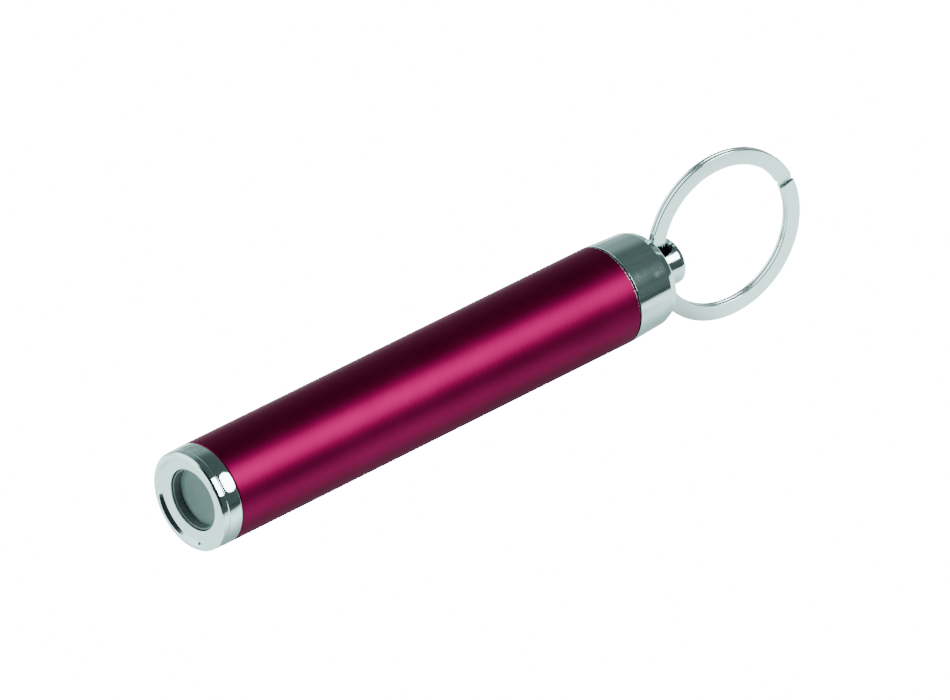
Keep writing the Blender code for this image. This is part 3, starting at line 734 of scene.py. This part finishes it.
cap_outline = eased([
    (POCKET_END, 0.0), (POCKET_END, POCKET_RADIUS), (SPIGOT_FRONT, POCKET_RADIUS, 0.0001),
    (SPIGOT_FRONT, SPIGOT_RADIUS, 0.0003),
    *thread_rows(SPIGOT_FRONT + 0.0006, 0.0776, SPIGOT_RADIUS),
    (SEAL_GROOVE_FRONT, SPIGOT_RADIUS), (SEAL_GROOVE_FRONT, SEAL_GROOVE),
    (SEAL_GROOVE_BACK, SEAL_GROOVE), (SEAL_GROOVE_BACK, SPIGOT_RADIUS),
    (SEATED, SPIGOT_RADIUS, 0.00005), (SEATED, BARREL_RADIUS, 0.00005),
    (CAP_BACK - 0.0020, 0.00763, 0.0006), (CAP_BACK - 0.0006, 0.0071, 0.0008),
    (CAP_BACK, 0.0056, 0.0009), (CAP_BACK, 0.0),
], 0.00006, 7)
cap = lathed("cap_body", cap_outline, 224, cap_thread)


def on_boss(station, across, up):
    return on_torch(station, across, up + BOSS_RISE)


boss = lathed("boss", eased([
    (CAP_BACK - 0.0010, 0.0), (CAP_BACK - 0.0010, 0.0042), (CAP_BACK - 0.0001, 0.0042),
    *arc((CAP_BACK + 0.00035, 0.0042), 0.00053, 180, 270, 5)[1:],
    (BOSS_END - 0.0008, 0.00375, 0.0005), (BOSS_END, 0.00372, 0.0005), (BOSS_END, 0.0),
], 0.00005, 7), 160, place=on_boss)
cut(cap, boss, "UNION")


def down_hole(height, across, along):
    return (FRONT + HOLE_AT + along, across, AXIS_HEIGHT + BOSS_RISE + height)


trumpet = []
trumpet_steps = 24
for step in range(trumpet_steps + 1):
    height = -0.0048 + 0.0096 * step / trumpet_steps
    flare = max(abs(height) - 0.0024, 0.0) / 0.0014
    trumpet.append((height, 0.0022 + 0.0005 * min(flare, 1.0) ** 2))
drill = lathed("boss_drill", [(-0.0049, 0.0), *trumpet, (0.0049, 0.0)], 96, place=down_hole)
cut(cap, drill, "DIFFERENCE")
cap = shaded(cap, 38)

# The cross hole is dull inside, and its colour is painted nearly black there: a painted shade in
# the hole.
capped = surface(
    "cap_chrome", ((0.69, 0.84, 0.83), (0.76, 0.88, 0.87)), (0.06, 0.10), 5.0, 0.0000003,
    Metallic=1.0,
)
from_hole = (capped.along("X") - (FRONT + HOLE_AT)) ** 2.0 + capped.along("Y") ** 2.0
painted_hole_shade = capped.ramp(from_hole, 0.00222**2, 0.0024**2, 1.0, 0.0)
handled = capped.ramp(capped.noise(0.35, 5.0, rough=0.65), 0.50, 0.72)
capped.feed(
    Base_Color=capped.blend(painted_hole_shade, capped.colour, (0.045, 0.050, 0.050)),
    Roughness=capped.rough + 0.10 * handled + 0.35 * painted_hole_shade,
)
installed(cap, capped, "tail_cap", "tail_cap")

o_ring = shaded(lathed(
    "cap_o_ring", arc((0.0788, 0.00615), 0.00042, 0, 345, 23), 144,
))
installed(o_ring, rubber, "tail_seal", "tail_cap")

clip_wire = 0.0003
clip = wound(
    "seat_snap_ring", sweep=math.radians(300), start_angle=math.radians(30),
    first_radius=0.0045, last_radius=0.0045, first_lift=0.0, last_lift=0.0, climb_from=0.0,
    climb_to=1.0, wire_width=2 * clip_wire, wire_height=2 * clip_wire,
    wire_rounding=0.98 * clip_wire, steps=90, metal=steel,
)
clip.data.transform(Matrix.Translation((0, 0, 0.08115 - clip_wire)))
clip.data.transform(laid_down)
installed(shaded(clip), steel, "seat_clip", "tail_cap")


# === Split ring =======================================================================
# Flat spring wire with rolled edges, wound twice and nickel-plated. A short jog takes it
# from one layer to the other beside its square-cut end.

RING_RADIUS = 0.01415
RING_WIDTH = 0.00255
RING_PITCH = 0.0007
RING_GAP = 0.000305
ring_yaw, ring_lean = -6.9, 4.6
jog = 6
first_share = (360 - jog) / (720 - jog)
ring = wound(
    "ring_wire", sweep=-math.radians(720 - jog), start_angle=math.radians(22),
    first_radius=RING_RADIUS - RING_WIDTH / 2, last_radius=RING_RADIUS - RING_WIDTH / 2,
    first_lift=RING_PITCH / 2, last_lift=-RING_PITCH / 2, climb_from=first_share,
    climb_to=first_share + jog / (720 - jog), wire_width=RING_WIDTH, wire_height=0.0006,
    wire_rounding=0.00017, steps=560, metal=nickel,
)
reach = CAP_BACK + RING_GAP + RING_RADIUS - HOLE_AT
yawed = Matrix.Rotation(math.radians(ring_yaw), 4, "Z")
swing = Matrix.Translation(on_torch(HOLE_AT, 0, 0)) @ yawed
leant = Matrix.Rotation(math.radians(90 - ring_lean), 4, "X")
stood = Matrix.Translation((reach, 0, 0.002)) @ leant
ring.data.transform(swing @ stood)
plated = surface(
    "bright_nickel", ((0.82, 0.95, 0.92), (0.90, 0.98, 0.96)), (0.10, 0.19), 7.0, 0.0000025,
    Metallic=1.0,
)
rubbed = plated.ramp(plated.noise(0.8, 6.0, rough=0.7), 0.55, 0.75)
plated.feed(Roughness=plated.rough + 0.09 * rubbed)
installed(shaded(ring), plated, "split_ring", "split_ring")


# === Floor, light and camera ==========================================================
# A plain white table, a large softbox up to the tail side, and a dim, patchy room with a
# pale window towards the head. The camera sees the table and the room as plain white, and
# reflections see their darker tones: on the table a painted pool of light, with a painted
# shadow under and beside the torch.

floor_rise, floor_run = 0.00416, 0.1063
floor_tilt = math.atan2(floor_rise, floor_run)
paper_white = 17.0
floor_mesh = bmesh.new()
bmesh.ops.create_grid(
    floor_mesh, x_segments=1, y_segments=1, size=1.6,
    matrix=Matrix.Translation((0.0466, 0, -0.00002)) @ Matrix.Rotation(floor_tilt, 4, "Y"),
)
floor = piece_of("table", floor_mesh)
for polygon in floor.data.polygons:
    if polygon.normal.z < 0:
        polygon.flip()
table_material = bpy.data.materials.new("white_table")
table_material.use_nodes = True
table = Shading(table_material.node_tree)
seen = table.node("LightPath")
spot = table.node("NewGeometry")
x, y = (table.node("SeparateXYZ", {"Vector": spot}, index) for index in (0, 1))
# Seen in reflections, the table carries a painted shadow under and beside the torch and a painted
# pool of light that fades to the front and back.
under_cap = table.ramp(x, 0.020, 0.032) - table.ramp(x, 0.040, 0.052)
beside = table.ramp(y.size(), 0.006, 0.021, 0.21 + 0.14 * under_cap, 1.0)
ahead_of_bezel = table.ramp(x, -0.0598, -0.0568, 0.8, 0.0)
beyond_boss = table.ramp(x, 0.034, 0.050)
unshadowed_table = beside.larger(ahead_of_bezel).larger(beyond_boss)
outwards = (0.0 - y) - 0.22 * (x + 0.04)
in_front = table.ramp(outwards, 0.022, 0.060, 1.0, 0.04)
to_the_back = table.ramp(y, 0.030, 0.090, 1.0, 0.56)
nearer = table.ramp(x, -0.055, 0.020, 2.75, 2.15)
shade_before_cap = table.ramp(0.0 - y, 0.010, 0.034, 1.0, 1.0 - 0.5 * under_cap)
strength = nearer * unshadowed_table * in_front * shade_before_cap * to_the_back
matte = table.node("Emission", {"Color": (0.74, 1.0, 0.96, 1.0), "Strength": strength})
white = table.node("Emission", {"Color": (1.0, 1.0, 1.0, 1.0), "Strength": paper_white})
mixed = table.node("MixShader", {0: seen, 1: matte, 2: white})
table.node("OutputMaterial", {"Surface": mixed})
table_material.cycles.emission_sampling = "NONE"
floor.data.materials.append(table_material)

world = bpy.data.worlds.new("studio")
bpy.context.scene.world = world
world.use_nodes = True
room = Shading(world.node_tree)
away = room.node("TexCoord", output=0)
ahead = room.node("SeparateXYZ", {"Vector": away}, 1)
above = room.node("SeparateXYZ", {"Vector": away}, 2)
round_torch = above.maths("ARCTAN2", above, 0.0 - ahead) * (180 / math.pi)
behind = room.ramp(round_torch, 110.0, 148.0, 0.0, 0.30)
further = room.ramp(round_torch, 160.0, 180.0, 0.0, 0.25)
patches = room.node("TexNoise", {"Vector": away, "Scale": 4.0, "Detail": 4.0})
to_the_tail = room.node("SeparateXYZ", {"Vector": away})
glimmer = room.ramp(to_the_tail, 0.58, 0.68, 0.0, 0.035)
front_side = room.ramp(round_torch, 85.0, 95.0, 0.35, 1.0)
dimmed = front_side.larger(room.ramp(to_the_tail, 0.0, 0.30, 0.30, 1.0))
window = room.ramp(to_the_tail, 0.06, -0.06) * room.ramp(round_torch, 96.0, 116.0, 0.0, 2.6)
level = (0.105 + behind + further + glimmer) * (0.5 + 1.0 * patches) * dimmed + window
dim = room.node("Background", {"Color": (0.74, 1.0, 1.0, 1.0), "Strength": level})
white = room.node("Background", {"Color": (1.0, 1.0, 1.0, 1.0), "Strength": paper_white})
seen = room.node("LightPath")
room.node("OutputWorld", {"Surface": room.node("MixShader", {0: seen, 1: dim, 2: white})})

softbox = bpy.data.lights.new("softbox", "AREA")
softbox.shape = "ELLIPSE"
softbox.color = (0.86, 1.0, 0.98)
away_from_axis = 0.60
lift = math.radians(44.5)
half_height = math.radians(21)
radiance = 13.5
from_x, to_x = 0.13, 0.48
softbox.size = to_x - from_x
softbox.size_y = 2 * away_from_axis * math.tan(half_height)
softbox.energy = radiance * math.pi * softbox.size * softbox.size_y * math.pi / 4
lamp = bpy.data.objects.new("softbox", softbox)
lamp.location = (
    (from_x + to_x) / 2, -away_from_axis * math.cos(lift), away_from_axis * math.sin(lift),
)
lamp.rotation_euler = (math.radians(90) - lift, 0, 0)
bpy.context.scene.collection.objects.link(lamp)

camera_data = bpy.data.cameras.new("camera")
camera_data.sensor_width = 36
camera_data.lens = 436.93
camera_data.clip_start = 0.1
camera_data.clip_end = 10
camera = bpy.data.objects.new("camera", camera_data)
azimuth, drop, roll = 0.8256316, 0.5827456, 0.0105552
look = Vector((
    math.cos(drop) * math.cos(azimuth), math.cos(drop) * math.sin(azimuth), -math.sin(drop),
))
right = look.cross(Vector((0, 0, 1))).normalized()
up = right.cross(look)
across = math.cos(roll) * right + math.sin(roll) * up
upright = math.cos(roll) * up - math.sin(roll) * right
stands = Vector((-0.926428 + FRONT, -1.062040, 0.954290 + AXIS_HEIGHT))
turned = Matrix((across, upright, -look)).transposed().to_4x4()
camera.matrix_world = Matrix.Translation(stands) @ turned
bpy.context.scene.collection.objects.link(camera)
bpy.context.scene.camera = camera
